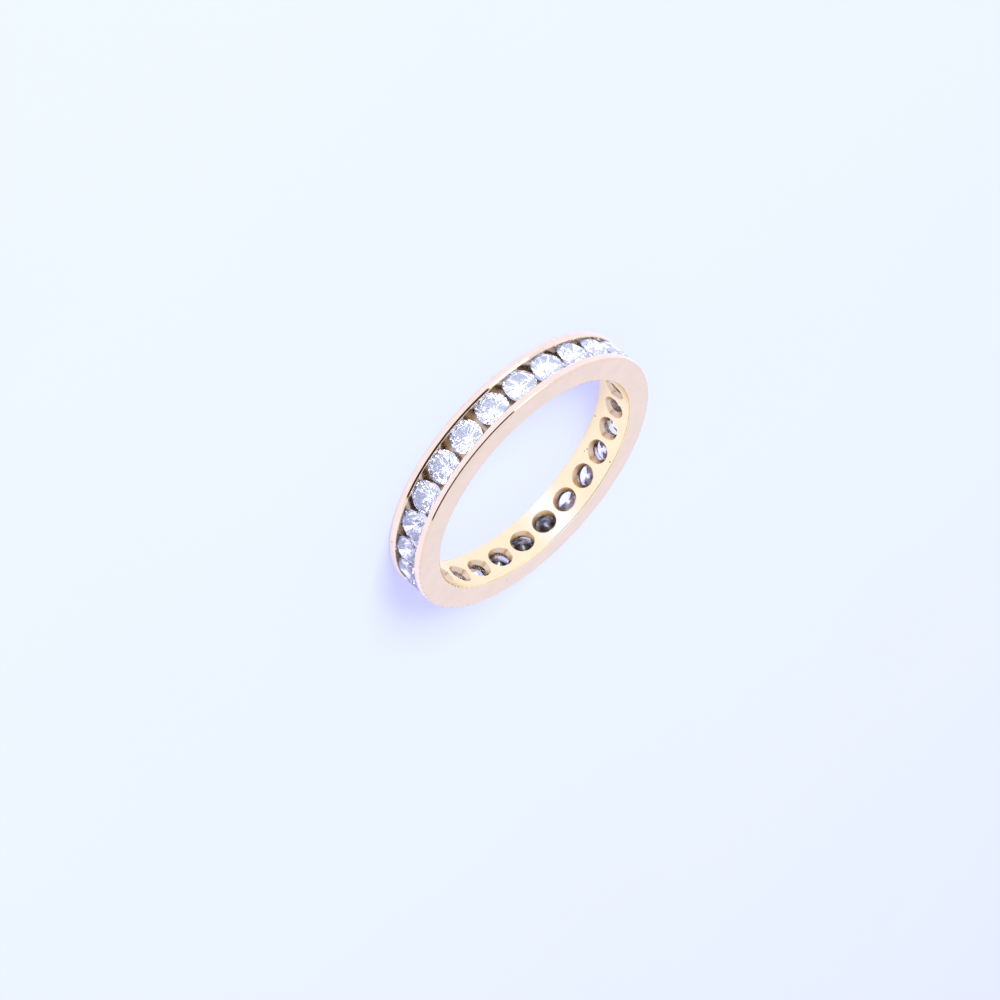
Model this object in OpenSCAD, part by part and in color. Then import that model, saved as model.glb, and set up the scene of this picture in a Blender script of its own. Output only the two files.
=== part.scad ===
// Full eternity ring, channel set with round brilliants.
// Lies flat on one side face: +Z is the axis of the hoop and z = 0 is the lower side face.
// Lengths are in millimetres.

/* [Finger] */
// Inside diameter of the hoop
finger_bore_d = 17; // [14:0.25:22]

/* [Stones] */
// Diameter of each stone across its girdle
stone_d = 2.2; // [1.7:0.05:3]
// Least space between two neighbouring stones
stone_gap = 0.15; // [0.06:0.01:0.3]
// Diameter of the table, as a share of the stone's diameter
table_share = 0.57; // [0.53:0.01:0.64]
// Height of the crown, as a share of the stone's diameter
crown_share = 0.14; // [0.11:0.01:0.17]
// Thickness of the girdle, as a share of the stone's diameter
girdle_share = 0.03; // [0.025:0.005:0.06]
// Depth of the pavilion, as a share of the stone's diameter
pavilion_share = 0.43; // [0.4:0.01:0.46]
// How far the star facets reach from the table's edge towards the girdle
star_share = 0.5; // [0.4:0.05:0.6]
// How far the lower halves reach from the girdle towards the tip
lower_half_share = 0.78; // [0.7:0.02:0.84]
// Turn of each stone about its own axis, against the stone before it, in degrees
stone_turn = 17; // [0:1:44]

/* [Channel] */
// Width of the top of each rail
rail_w = 0.58; // [0.5:0.02:1.2]
// How far each rail reaches over the edge of the stones
rail_grip = 0.19; // [0.16:0.01:0.36]
// How far the rails stand above the stones' girdles
rail_over = 0.32; // [0.2:0.02:0.6]
// Metal between the bore and the channel floor
floor_t = 0.95; // [0.6:0.05:1.1]
// Metal left at the bore between the mouths of two holes
hole_bar = 0.4; // [0.35:0.05:0.8]
// Width of the sloping mouth round each hole
mouth_w = 0.2; // [0.1:0.05:0.25]
// Depth of that mouth
mouth_depth = 0.3; // [0.2:0.05:0.4]
// How deep the tip of each stone lies behind the surface of the bore
tip_depth = 0.45; // [0.3:0.05:0.7]
// Clearance between a stone and its seat
seat_gap = 0.02; // [0.01:0.005:0.04]

/* [Edges] */
// Radius of the edges between the side faces and the rail tops
outer_edge_r = 0.16; // [0.05:0.01:0.22]
// Radius of the edges between the side faces and the bore
bore_edge_r = 0.12; // [0.05:0.01:0.3]
// Radius of the rails' edges along the channel
lip_r = 0.06; // [0.02:0.01:0.12]

/* [Hidden] */
// Facets in each round of the cut, and straight steps in each half facet's edge on the girdle
mains = 8;
half_steps = 2;
main_turn = 360 / mains;
girdle_steps = 2 * mains * half_steps;

stone_r = stone_d / 2;
table_r = stone_r * table_share;
crown_h = stone_d * crown_share;
girdle_h = stone_d * girdle_share;
pavilion_h = stone_d * pavilion_share;

bore_r = finger_bore_d / 2;
tip_at = bore_r + tip_depth;
girdle_at = tip_at + pavilion_h;
outer_r = girdle_at + girdle_h + rail_over;

channel_w = stone_d - 2 * rail_grip;
band_w = channel_w + 2 * rail_w;

// As many stones as the circle of the girdles takes with the least space between them
half_pitch = atan(stone_r / girdle_at) + asin(stone_gap / 2 / norm([girdle_at, stone_r]));
stone_count = floor(180 / half_pitch);
pitch = 360 / stone_count;
mouth_d = 2 * bore_r * sin(pitch / 2) - hole_bar;

// Past the surface that a cut opens through
over = 0.3;
fine = 96;

function stone_name(i) = str("stone_", i < 10 ? "0" : "", i);

// Puts a thing that points along +Z at the place of stone i, pointing out from the finger
module at_stone(i) {
    translate([0, 0, band_w / 2])
        rotate([0, 0, (i - 1) * pitch])
            rotate([0, 90, 0])
                children();
}

// Cut of the stone

function around(r, a, z) = [r * cos(a), r * sin(a), z];

// Radii of the corners where the star facets and the lower halves end
star_tip_r = stone_r * (table_share * cos(main_turn / 2) * (1 - star_share) + star_share);
lower_tip_r = stone_r * (1 - lower_half_share);

// Heights at which those corners lie in the planes of the kites and of the pavilion mains
star_tip_h = crown_h * (stone_r - star_tip_r * cos(main_turn / 2)) / (stone_r - table_r);
lower_tip_h = pavilion_h * (1 - lower_tip_r * cos(main_turn / 2) / stone_r);

// How far a half facet's plane has run past the girdle's edge between its two corners
function dip(step, tip_r, tip_h) =
    let (
        quarter = main_turn / 4,
        a = (step % half_steps) * main_turn / 2 / half_steps - quarter
    )
    tip_h * (cos(a) - cos(quarter)) / (cos(quarter) * (1 - tip_r / stone_r));

function girdle_ring(z, tip_r, tip_h) = [
    for (j = [0 : girdle_steps - 1])
        around(stone_r, j * 360 / girdle_steps, z + dip(j, tip_r, tip_h))
];

function corner_ring(r, z, first) = [
    for (k = [0 : mains - 1]) around(r, first + k * main_turn, z)
];

// The points of one brilliant, tip down, its girdle resting on z = 0
stone_points = concat(
    corner_ring(table_r, girdle_h + crown_h, 0),
    corner_ring(star_tip_r, girdle_h + star_tip_h, main_turn / 2),
    girdle_ring(girdle_h, star_tip_r, -star_tip_h),
    girdle_ring(0, lower_tip_r, lower_tip_h),
    corner_ring(lower_tip_r, -lower_tip_h, main_turn / 2),
    [[0, 0, -pavilion_h]]
);

// Places of those rings in the list of points
function table_pt(k) = (k + mains) % mains;
function star_pt(k) = mains + (k + mains) % mains;
function upper_pt(j) = 2 * mains + j % girdle_steps;
function lower_pt(j) = 2 * mains + girdle_steps + j % girdle_steps;
function lower_tip_pt(k) = 2 * mains + 2 * girdle_steps + (k + mains) % mains;
tip_pt = 3 * mains + 2 * girdle_steps;

main_steps = 2 * half_steps;
table_facet = [for (k = [mains - 1 : -1 : 0]) table_pt(k)];
star_facets = [for (k = [0 : mains - 1]) [table_pt(k), table_pt(k + 1), star_pt(k)]];
kite_facets = [
    for (k = [0 : mains - 1])
        [table_pt(k), star_pt(k), upper_pt(main_steps * k), star_pt(k - 1)]
];
upper_halves = [
    for (k = [0 : mains - 1], first = [0, half_steps])
        concat(
            [star_pt(k)],
            [for (j = [half_steps : -1 : 0]) upper_pt(main_steps * k + first + j)]
        )
];
girdle_facets = [
    for (j = [0 : girdle_steps - 1])
        [lower_pt(j), upper_pt(j), upper_pt(j + 1), lower_pt(j + 1)]
];
lower_halves = [
    for (k = [0 : mains - 1], first = [0, half_steps])
        concat(
            [lower_tip_pt(k)],
            [for (j = [0 : half_steps]) lower_pt(main_steps * k + first + j)]
        )
];
pavilion_mains = [
    for (k = [0 : mains - 1])
        [tip_pt, lower_tip_pt(k - 1), lower_pt(main_steps * k), lower_tip_pt(k)]
];

module brilliant() {
    polyhedron(
        points = stone_points,
        faces = concat(
            [table_facet], star_facets, kite_facets, upper_halves,
            girdle_facets, lower_halves, pavilion_mains
        )
    );
}

module stone(i) {
    color([0.93, 0.93, 0.98])
        at_stone(i)
            translate([0, 0, girdle_at])
                rotate([0, 0, (i - 1) * stone_turn])
                    brilliant();
}

// Metal

// One rail in section, radius along x, its side face at y = 0
module rail_section() {
    foot = bore_r + bore_edge_r;
    shoulder = outer_r - outer_edge_r;
    translate([foot, 0])
        square([shoulder - foot, rail_w]);
    translate([shoulder, outer_edge_r])
        circle(outer_edge_r, $fn = fine);
    translate([shoulder - lip_r, outer_edge_r])
        square([outer_r - shoulder + lip_r, rail_w - outer_edge_r - lip_r]);
    translate([shoulder - lip_r, outer_edge_r])
        square([outer_r - shoulder, rail_w - outer_edge_r]);
    translate([outer_r - lip_r, rail_w - lip_r])
        circle(lip_r, $fn = fine);
}

// The channel floor in section, with the rounded edges of the bore
module floor_section() {
    translate([bore_r, bore_edge_r])
        square([floor_t, band_w - 2 * bore_edge_r]);
    translate([bore_r + bore_edge_r, 0])
        square([floor_t - bore_edge_r, band_w]);
    for (y = [bore_edge_r, band_w - bore_edge_r])
        translate([bore_r + bore_edge_r, y])
            circle(bore_edge_r, $fn = fine);
}

module hoop() {
    rotate_extrude($fn = fine)
        union() {
            floor_section();
            rail_section();
            translate([0, band_w])
                mirror([0, 1])
                    rail_section();
        }
}

// What is cut away for one stone: a seat that holds it at its girdle, with clearance over its crown,
// and narrows to the hole that opens through to the bore
module seat_cut() {
    seat_r = stone_r + seat_gap;
    seat_bottom = girdle_at - seat_gap;
    seat_top = girdle_at + girdle_h + seat_gap;
    mouth_r = mouth_d / 2;
    // The mouth's slope runs on into the bore, past the curve of its wall beside the hole
    past = 2 * (bore_r - sqrt(pow(bore_r, 2) - pow(mouth_r, 2)));
    widest_r = mouth_r + past * mouth_w / mouth_depth;
    rotate_extrude($fn = fine)
        polygon([
            [0, bore_r - over],
            [widest_r, bore_r - over],
            [widest_r, bore_r - past],
            [mouth_r - mouth_w, bore_r + mouth_depth],
            [seat_r, seat_bottom],
            [seat_r, seat_top],
            [star_tip_r + seat_gap, seat_top + star_tip_h],
            [table_r + seat_gap, seat_top + crown_h],
            [0, seat_top + crown_h]
        ]);
}

module band() {
    color([0.93, 0.76, 0.62])
        difference() {
            hoop();
            for (i = [1 : stone_count])
                at_stone(i)
                    seat_cut();
        }
}

band();
for (i = [1 : stone_count])
    stone(i);
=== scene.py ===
import math

import bpy
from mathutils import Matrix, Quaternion, Vector


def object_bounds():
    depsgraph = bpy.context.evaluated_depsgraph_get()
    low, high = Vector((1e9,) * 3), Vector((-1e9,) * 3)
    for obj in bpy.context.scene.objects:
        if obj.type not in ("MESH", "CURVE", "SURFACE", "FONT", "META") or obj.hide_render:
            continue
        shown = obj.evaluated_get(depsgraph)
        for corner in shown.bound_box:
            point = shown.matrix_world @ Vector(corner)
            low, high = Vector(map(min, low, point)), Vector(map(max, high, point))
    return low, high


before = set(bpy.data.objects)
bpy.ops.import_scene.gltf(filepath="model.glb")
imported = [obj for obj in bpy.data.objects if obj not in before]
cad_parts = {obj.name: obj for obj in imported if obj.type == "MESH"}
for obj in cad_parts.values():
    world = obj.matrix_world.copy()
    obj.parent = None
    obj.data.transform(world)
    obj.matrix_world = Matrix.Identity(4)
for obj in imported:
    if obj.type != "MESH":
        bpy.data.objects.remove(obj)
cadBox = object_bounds()
mm = 0.001

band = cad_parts["band"]
stones = [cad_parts[name] for name in sorted(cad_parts) if name.startswith("stone_")]
print("frame: 1 band,", len(stones), "stones")


# Camera

camera = {
    "aim": (1.154, 1.990, 1.669),  # mm, the point in the middle of the picture
    "azimuth": 57.90,
    "elevation": 23.95,
    "roll": 131.77,
    "distance": 207.25,  # mm
    "lens": 114.06,
    "sensor": 36,
    "clip": (0.005, 20),  # m
}


def placeCamera(size):
    azimuth, elevation = math.radians(size["azimuth"]), math.radians(size["elevation"])
    back = Vector((
        math.sin(azimuth) * math.cos(elevation),
        -math.cos(azimuth) * math.cos(elevation),
        math.sin(elevation),
    ))
    bpy.ops.object.camera_add(location=(Vector(size["aim"]) + back * size["distance"]) * mm)
    lensObject = bpy.context.object
    lensObject.name = "camera"
    lensObject.rotation_mode = "QUATERNION"
    roll = Quaternion((0, 0, 1), math.radians(size["roll"]))
    lensObject.rotation_quaternion = back.to_track_quat("Z", "Y") @ roll
    lensObject.data.lens = size["lens"]
    lensObject.data.sensor_width = size["sensor"]
    lensObject.data.clip_start, lensObject.data.clip_end = size["clip"]
    bpy.context.scene.camera = lensObject
    bpy.context.scene.view_settings.view_transform = "Standard"


placeCamera(camera)
print("camera placed")


# Nodes of a material, added by kind and joined by socket name

def newNode(tree, kind, **values):
    node = tree.nodes.new(kind)
    for name, value in values.items():
        setattr(node, name, value)
    return node


def join(tree, fromSocket, toSocket):
    tree.links.new(fromSocket, toSocket)


def calc(tree, operation, first, second=None):
    node = newNode(tree, "ShaderNodeMath", operation=operation)
    for slot, value in enumerate((first, second)):
        if value is None:
            continue
        if isinstance(value, (int, float)):
            node.inputs[slot].default_value = value
        else:
            join(tree, value, node.inputs[slot])
    return node.outputs[0]


def product(tree, first, *others):
    for other in others:
        first = calc(tree, "MULTIPLY", first, other)
    return first


def hypotenuse(tree, first, second):
    return calc(tree, "SQRT", calc(tree, "ADD", product(tree, first, first), product(tree, second, second)))


def ramp(tree, value, low, high, atLow=0.0, atHigh=1.0):
    node = newNode(tree, "ShaderNodeMapRange", interpolation_type="SMOOTHSTEP")
    join(tree, value, node.inputs["Value"])
    node.inputs["From Min"].default_value = low
    node.inputs["From Max"].default_value = high
    node.inputs["To Min"].default_value = atLow
    node.inputs["To Max"].default_value = atHigh
    return node.outputs["Result"]


def blendColour(tree, share, first, second, how="MIX"):
    node = newNode(tree, "ShaderNodeMix", data_type="RGBA", blend_type=how)
    for socket, value in ((node.inputs[0], share), (node.inputs[6], first), (node.inputs[7], second)):
        if isinstance(value, (int, float)):
            socket.default_value = value
        elif isinstance(value, tuple):
            socket.default_value = (*value, 1)
        else:
            join(tree, value, socket)
    return node.outputs[2]


noiseSpan = (0.3, 0.7)  # a noise's values seldom lie outside it


def noise(tree, vector, scale, detail):
    node = newNode(tree, "ShaderNodeTexNoise")
    join(tree, vector, node.inputs["Vector"])
    node.inputs["Scale"].default_value = scale
    node.inputs["Detail"].default_value = detail
    return node.outputs["Fac"]


def newMaterial(name):
    material = bpy.data.materials.new(name)
    material.use_nodes = True
    tree = material.node_tree
    return material, tree, tree.nodes["Principled BSDF"]


def placeInMm(tree):
    # The place on the piece, its distance from the hoop's axis and its three axes, all in mm
    inMm = newNode(tree, "ShaderNodeVectorMath", operation="SCALE")
    join(tree, newNode(tree, "ShaderNodeTexCoord").outputs["Object"], inMm.inputs[0])
    inMm.inputs["Scale"].default_value = 1 / mm
    axes = newNode(tree, "ShaderNodeSeparateXYZ")
    join(tree, inMm.outputs[0], axes.inputs[0])
    x, y, z = axes.outputs
    return inMm.outputs[0], hypotenuse(tree, x, y), (x, y, z)


# Gold

hoop = {  # mm
    "outerRadius": cadBox[1][0] / mm,
    "halfWidth": cadBox[1][2] / mm / 2,
    "boreRadius": 8.5,
    "edgeRadius": 0.16,
}
gold = {
    "outside": (0.93, 0.72, 0.46),
    # painted light: the bore's gold is painted lighter and yellower than the outside's, standing in for how
    # the bore is lit
    "bore": (1.0, 0.80, 0.41),
    "paintedHighlight": (1.0, 0.93, 0.62),  # painted highlight: the bore's colour made lighter here, where the bore is brightest
    "paintedHighlightAngle": 143,  # degrees, the middle of that place and how far it reaches to each side
    "paintedHighlightWide": 16,
    "recess": (0.54, 0.40, 0.24),  # darker brown between the stones, in patches
    "hole": (0.80, 0.61, 0.36),
    "nick": (0.30, 0.21, 0.13),
    "roughness": 0.085,
    "boreRoughness": 0.24,
    "holeRoughness": 0.18,  # more than elsewhere by this much
    "grainRoughness": (-0.02, 0.02),
    "grainSpan": (0.3, 0.75),
    "cloudShade": (0.96, 1.0),
    "recessMarkSpan": (0.75, 1.0),
    "cloud": (0.9, 3),  # scale and detail of the noises
    "grain": (14, 4),
    "ripple": (3.5, 4),
    "rippleStrength": 0.04,
    "rippleDepth": 0.00002,  # m
    # where one finish fades into the next, mm
    "boreFade": (0.01, 0.12),  # behind the wall of the bore
    "holeFade": (0.02, 0.08),
    "floorFade": (9.3, 9.45),  # from the axis, at the floor of the channel and at the lips of the rails
    "lipFade": (10.12, 10.22),
    "seatFade": (1.2, 1.3),  # from the middle height, past the seats
}
polish = {  # slopes that polish has given the rails, and where they lie from the middle height, mm
    "outerTilt": (0.18, 0.31),  # least and most round the ring
    "outerTurn": 90,  # degrees
    "outerRise": (1.26, 1.30),
    "innerTilt": 0.29,
    "innerFall": (1.07, 1.11),
    "leastAcross": 0.0005,  # keeps the direction of a side face from having no length anywhere
    "faceFade": (8.8, 8.9),  # from the axis, where it begins on the side faces
    "edgeFade": (0.8, 0.95),  # share of the edge's radius, from the middle of its curve
}
nicks = [  # x, y, z and radius of the small marks of wear, mm
    (-8.23, -2.12, 0.20, 0.09),
    (-8.49, 0.38, 0.71, 0.08),
    (-8.47, 0.62, 0.62, 0.07),
    (-8.50, -0.03, 2.69, 0.09),
    (-2.59, 8.70, 2.98, 0.06),
    (-2.53, 8.78, 2.98, 0.05),
    (9.07, 4.83, 0.29, 0.09),
]
nickCore = 0.3  # share of each mark that has its full colour


def nickShare(tree, place):
    share = 0.0
    for x, y, z, size in nicks:
        away = newNode(tree, "ShaderNodeVectorMath", operation="DISTANCE")
        join(tree, place, away.inputs[0])
        away.inputs[1].default_value = (x, y, z)
        mark = ramp(tree, away.outputs["Value"], size * nickCore, size, 1, 0)
        share = calc(tree, "MAXIMUM", share, mark)
    return share


def railSlope(tree, look, turned, fromMiddle, up):
    # The part along the axis of a direction about as long as the edge's radius
    edge = hoop["edgeRadius"]
    twice = calc(tree, "ADD", calc(tree, "MULTIPLY", turned, 2.0), math.radians(look["outerTurn"]))
    least, most = look["outerTilt"]
    wave = calc(tree, "MULTIPLY", calc(tree, "SINE", twice), (most - least) / 2)
    outerTilt = calc(tree, "ADD", wave, (most + least) / 2)
    outer = product(tree, ramp(tree, fromMiddle, *look["outerRise"], 0, edge), outerTilt)
    inner = ramp(tree, fromMiddle, *look["innerFall"], look["innerTilt"] * edge, 0)
    return calc(tree, "SUBTRACT", calc(tree, "MAXIMUM", up, outer), inner)


def polishedNormal(tree, look, axes, radius, turned, fromMiddle):
    # The true direction of rails, rounded outer edges and side faces, worked out from the place on the hoop
    edge = hoop["edgeRadius"]
    across = calc(tree, "SUBTRACT", radius, hoop["outerRadius"] - edge)
    across = calc(tree, "MAXIMUM", across, look["leastAcross"])
    up = calc(tree, "MAXIMUM", calc(tree, "SUBTRACT", fromMiddle, hoop["halfWidth"] - edge), 0.0)
    beneath, surface = look["edgeFade"]
    onSurface = ramp(tree, hypotenuse(tree, across, up), beneath * edge, surface * edge)
    outside = product(tree, onSurface, ramp(tree, radius, *look["faceFade"]))

    share = calc(tree, "DIVIDE", across, radius)
    above = calc(tree, "SIGN", calc(tree, "SUBTRACT", axes[2], hoop["halfWidth"]))
    direction = newNode(tree, "ShaderNodeCombineXYZ")
    join(tree, product(tree, axes[0], share), direction.inputs[0])
    join(tree, product(tree, axes[1], share), direction.inputs[1])
    join(tree, product(tree, railSlope(tree, look, turned, fromMiddle, up), above), direction.inputs[2])
    inWorld = newNode(
        tree, "ShaderNodeVectorTransform", vector_type="NORMAL", convert_from="OBJECT", convert_to="WORLD"
    )
    join(tree, direction.outputs[0], inWorld.inputs[0])
    unit = newNode(tree, "ShaderNodeVectorMath", operation="NORMALIZE")
    join(tree, inWorld.outputs[0], unit.inputs[0])

    pick = newNode(tree, "ShaderNodeMix", data_type="VECTOR")
    join(tree, outside, pick.inputs[0])
    join(tree, newNode(tree, "ShaderNodeNewGeometry").outputs["Normal"], pick.inputs[4])
    join(tree, unit.outputs[0], pick.inputs[5])
    return pick.outputs[1]


def makeGold(look):
    material, tree, shader = newMaterial("polishedGold")
    place, radius, axes = placeInMm(tree)
    turned = calc(tree, "ARCTAN2", axes[1], axes[0])
    fromMiddle = calc(tree, "ABSOLUTE", calc(tree, "SUBTRACT", axes[2], hoop["halfWidth"]))
    behindBore = calc(tree, "SUBTRACT", radius, hoop["boreRadius"])
    cloud = noise(tree, place, *look["cloud"])
    grain = noise(tree, place, *look["grain"])

    inBore = ramp(tree, behindBore, *look["boreFade"], 1, 0)
    amongStones = product(
        tree, ramp(tree, fromMiddle, *look["seatFade"], 1, 0), ramp(tree, radius, *look["lipFade"], 1, 0)
    )
    inHole = product(tree, ramp(tree, behindBore, *look["holeFade"]), amongStones)
    inRecess = product(tree, ramp(tree, radius, *look["floorFade"]), amongStones)

    # a painted highlight: the bore's colour is made lighter round one angle of the ring
    fromPaintedHighlight = calc(tree, "ABSOLUTE", calc(tree, "SUBTRACT", turned, math.radians(look["paintedHighlightAngle"])))
    paintedHighlightShare = ramp(tree, fromPaintedHighlight, 0, math.radians(look["paintedHighlightWide"]), 1, 0)
    borePaintedLightColour = blendColour(tree, paintedHighlightShare, look["bore"], look["paintedHighlight"])
    colour = blendColour(tree, inBore, look["outside"], borePaintedLightColour)
    colour = blendColour(tree, inHole, colour, look["hole"])
    # darker brown between the stones on the channel floor, in patches of the grain noise
    recessMark = product(tree, inRecess, ramp(tree, grain, *noiseSpan, *look["recessMarkSpan"]))
    colour = blendColour(tree, recessMark, colour, look["recess"])
    shade = ramp(tree, cloud, *noiseSpan, *look["cloudShade"])
    colour = blendColour(tree, 1.0, colour, shade, "MULTIPLY")
    colour = blendColour(tree, nickShare(tree, place), colour, look["nick"])
    join(tree, colour, shader.inputs["Base Color"])
    shader.inputs["Metallic"].default_value = 1.0

    boreMore = product(tree, inBore, look["boreRoughness"] - look["roughness"])
    rough = calc(tree, "ADD", look["roughness"], boreMore)
    rough = calc(tree, "ADD", rough, product(tree, inHole, look["holeRoughness"]))
    rough = calc(tree, "ADD", rough, ramp(tree, grain, *look["grainSpan"], *look["grainRoughness"]))
    join(tree, rough, shader.inputs["Roughness"])

    ripple = newNode(tree, "ShaderNodeBump")
    ripple.inputs["Strength"].default_value = look["rippleStrength"]
    ripple.inputs["Distance"].default_value = look["rippleDepth"]
    join(tree, noise(tree, place, *look["ripple"]), ripple.inputs["Height"])
    join(tree, polishedNormal(tree, polish, axes, radius, turned, fromMiddle), ripple.inputs["Normal"])
    join(tree, ripple.outputs[0], shader.inputs["Normal"])
    return material


# Stones

diamond = {
    "colour": (0.945, 0.94, 1.0),
    "back": (0.66, 0.65, 0.84),  # a thin film on the backs of all of them
    "backFade": (9.6, 9.85),  # mm from the axis, from where inwards a stone's surface is its back
    "ior": 2.417,
    "clarity": 0.90,  # the rest is a faint milkiness
    "backHaze": 0.13,  # more of it on their backs
    "soil": ((0.006, 0.005, 0.004), (0.09, 0.075, 0.065)),  # residue behind those whose holes look dark
    "soilNoise": (2.5, 4),
    "soilPatches": (0.45, 0.7),
    "soilRoughness": 0.3,
    "soilAngle": 121,  # degrees, where it is thickest
    "soilFade": (8.2, 8.75),  # mm along that direction
}


def makeDiamond(look):
    material, tree, shader = newMaterial("clearStone")
    place, radius, axes = placeInMm(tree)
    behind = ramp(tree, radius, *look["backFade"], 1, 0)
    angle = math.radians(look["soilAngle"])
    x, y = axes[:2]
    along = calc(tree, "ADD", product(tree, x, math.cos(angle)), product(tree, y, math.sin(angle)))
    soiled = product(tree, ramp(tree, along, *look["soilFade"]), behind)
    patches = ramp(tree, noise(tree, place, *look["soilNoise"]), *look["soilPatches"])
    soil = blendColour(tree, patches, *look["soil"])
    clean = blendColour(tree, behind, look["colour"], look["back"])
    join(tree, blendColour(tree, soiled, clean, soil), shader.inputs["Base Color"])
    haze = product(tree, behind, look["backHaze"])
    join(tree, calc(tree, "SUBTRACT", look["clarity"], haze), shader.inputs["Transmission Weight"])
    join(tree, product(tree, soiled, look["soilRoughness"]), shader.inputs["Roughness"])
    shader.inputs["IOR"].default_value = look["ior"]
    return material


def dress(item, material):
    item.data.materials.clear()
    item.data.materials.append(material)


dress(band, makeGold(gold))
clearStone = makeDiamond(diamond)
for stone in stones:
    dress(stone, clearStone)
print("gold and stones dressed")


# Studio

studio = {
    "floorSize": 6.0,  # m
    "floorDrop": 0.00001,  # m below the ring
    "floorColour": (0.17, 0.18, 0.22),
    "floorTone": (0.985, 1.0),
    "floorNoise": (30, 2),
    "floorRoughness": 0.9,
    "floorShine": 0.1,
    "floorGlow": (0.48, 0.48, 0.77),  # light that comes up through the floor, as on a light table
    "sky": (0.95, 1.0, 1.42),
    "backdrop": (0.84, 0.912, 1.25),
    "glowOnRing": 1.52,  # how much more of the glow reaches the ring than the lens
    "inStones": 2.7,  # how much brighter sky and floor are for what leaves a stone, as with lamps over it
}
skyCards = [
    # ring angle and elevation of the middle, half width, half height and half the faded rim, all in degrees,
    # radiance, and whether only what leaves a stone meets it
    {
        "name": "darkRoom", "angle": -16, "elevation": 17, "wide": 54, "high": 22, "soft": 1,
        "colour": (0.04, 0.03, 0.02), "stonesOnly": True,
    },
    {
        "name": "lens", "angle": -31, "elevation": 24, "wide": 8, "high": 28, "soft": 1,
        "colour": (0.02, 0.02, 0.02), "stonesOnly": True,
    },
    {
        "name": "tableEdge", "angle": -16, "elevation": 4, "wide": 54, "high": 6, "soft": 1,
        "colour": (0.04, 0.03, 0.02), "stonesOnly": False,
    },
    {
        "name": "lowBox", "angle": -78, "elevation": 3, "wide": 18, "high": 4, "soft": 1,
        "colour": (2.6, 2.6, 2.8), "stonesOnly": False,
    },
]


def makeFloor(look):
    bpy.ops.mesh.primitive_plane_add(size=look["floorSize"], location=(0, 0, -look["floorDrop"]))
    floor = bpy.context.object
    floor.name = "floor"
    material, tree, shader = newMaterial("paleFloor")
    place = newNode(tree, "ShaderNodeTexCoord").outputs["Object"]
    tone = ramp(tree, noise(tree, place, *look["floorNoise"]), *noiseSpan, *look["floorTone"])
    join(tree, blendColour(tree, tone, (0, 0, 0), look["floorColour"]), shader.inputs["Base Color"])
    shader.inputs["Roughness"].default_value = look["floorRoughness"]
    shader.inputs["Specular IOR Level"].default_value = look["floorShine"]
    shader.inputs["Emission Color"].default_value = (*look["floorGlow"], 1)
    path = newNode(tree, "ShaderNodeLightPath")
    notSeen = calc(tree, "SUBTRACT", 1.0, path.outputs["Is Camera Ray"])
    onRing = product(tree, notSeen, look["glowOnRing"] - 1)
    inStones = product(tree, path.outputs["Is Transmission Ray"], look["inStones"] - look["glowOnRing"])
    glow = calc(tree, "ADD", calc(tree, "ADD", onRing, inStones), 1.0)
    join(tree, glow, shader.inputs["Emission Strength"])
    floor.data.materials.append(material)


def cardShare(tree, card, direction):
    angle, elevation, wide, high, soft = (
        math.radians(card[name]) for name in ("angle", "elevation", "wide", "high", "soft")
    )
    turned = newNode(tree, "ShaderNodeVectorRotate", rotation_type="Z_AXIS")
    join(tree, direction, turned.inputs["Vector"])
    turned.inputs["Angle"].default_value = -angle
    axes = newNode(tree, "ShaderNodeSeparateXYZ")
    join(tree, turned.outputs[0], axes.inputs[0])
    x, y, z = axes.outputs
    aside = calc(tree, "ABSOLUTE", calc(tree, "ARCTAN2", y, x))
    aloft = calc(tree, "ABSOLUTE", calc(tree, "SUBTRACT", calc(tree, "ARCSINE", z), elevation))
    return product(
        tree,
        ramp(tree, aside, wide - soft, wide + soft, 1, 0),
        ramp(tree, aloft, high - soft, high + soft, 1, 0),
    )


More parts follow.
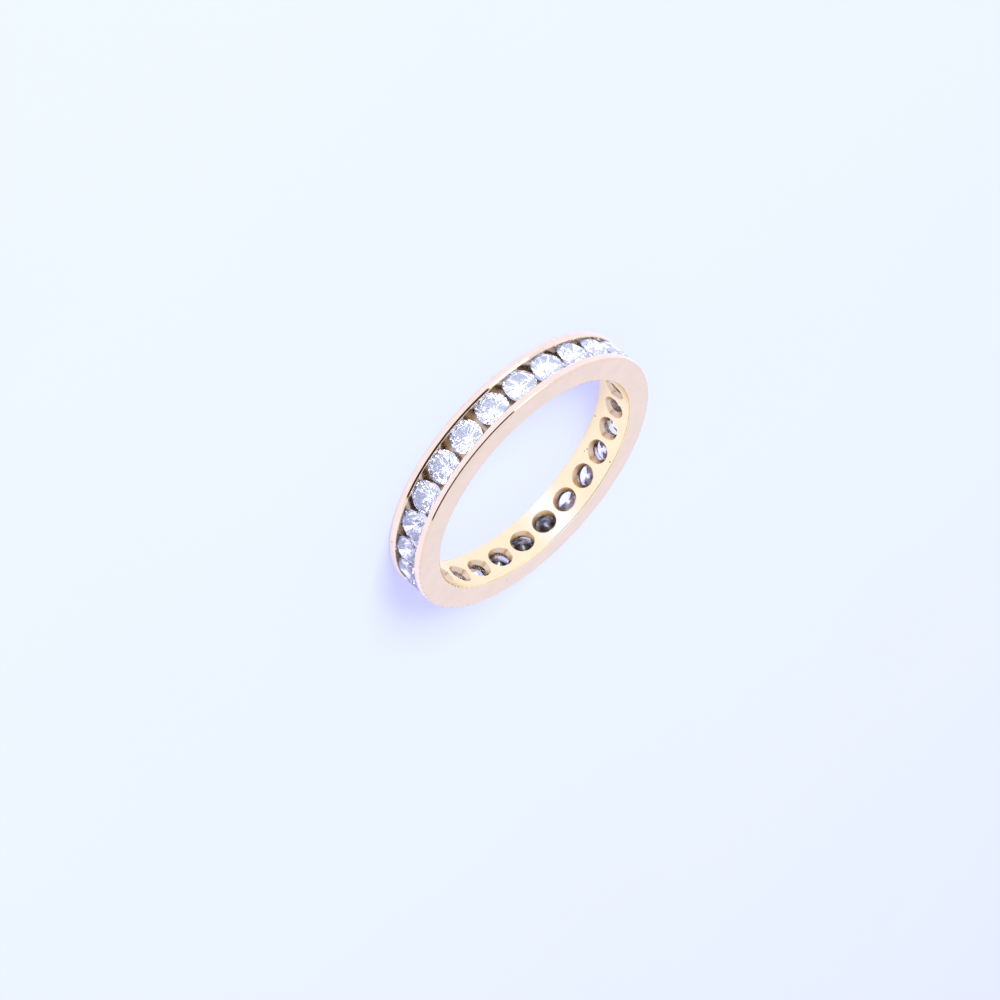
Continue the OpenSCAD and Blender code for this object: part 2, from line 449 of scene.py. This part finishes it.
def lightWorld(look, cards):
    world = bpy.data.worlds.new("studio")
    bpy.context.scene.world = world
    world.use_nodes = True
    tree = world.node_tree
    tree.nodes.clear()
    direction = newNode(tree, "ShaderNodeTexCoord").outputs["Generated"]
    path = newNode(tree, "ShaderNodeLightPath")
    fromStone = path.outputs["Is Transmission Ray"]
    colour = look["sky"]
    for card in cards:
        share = cardShare(tree, card, direction)
        if card["stonesOnly"]:
            share = product(tree, share, fromStone)
        colour = blendColour(tree, share, colour, card["colour"])
    lit = newNode(tree, "ShaderNodeBackground")
    join(tree, colour, lit.inputs["Color"])
    boost = product(tree, fromStone, look["inStones"] - 1)
    join(tree, calc(tree, "ADD", boost, 1.0), lit.inputs["Strength"])
    seen = newNode(tree, "ShaderNodeBackground")
    seen.inputs["Color"].default_value = (*look["backdrop"], 1)
    pick = newNode(tree, "ShaderNodeMixShader")
    join(tree, path.outputs["Is Camera Ray"], pick.inputs[0])
    join(tree, lit.outputs[0], pick.inputs[1])
    join(tree, seen.outputs[0], pick.inputs[2])
    join(tree, pick.outputs[0], newNode(tree, "ShaderNodeOutputWorld").inputs["Surface"])


softBox = {
    "angle": -65,  # ring angle of the lamp, degrees
    "elevation": 30,
    "distance": 1500,  # mm
    "width": 700,
    "height": 700,
    "power": 70.0,  # W
    "colour": (0.86, 1.0, 0.95),
}


def hangLamp(look):
    angle, elevation = math.radians(look["angle"]), math.radians(look["elevation"])
    towards = Vector((
        math.cos(angle) * math.cos(elevation),
        math.sin(angle) * math.cos(elevation),
        math.sin(elevation),
    ))
    bpy.ops.object.light_add(type="AREA", location=towards * look["distance"] * mm)
    lamp = bpy.context.object
    lamp.name = "softBox"
    lamp.rotation_mode = "QUATERNION"
    lamp.rotation_quaternion = towards.to_track_quat("Z", "Y")
    lamp.data.shape = "RECTANGLE"
    lamp.data.size = look["width"] * mm
    lamp.data.size_y = look["height"] * mm
    lamp.data.energy = look["power"]
    lamp.data.color = look["colour"]
    lamp.visible_glossy = False  # the polished rails mirror the sky and its cards alone


makeFloor(studio)
lightWorld(studio, skyCards)
hangLamp(softBox)
print("studio lit")
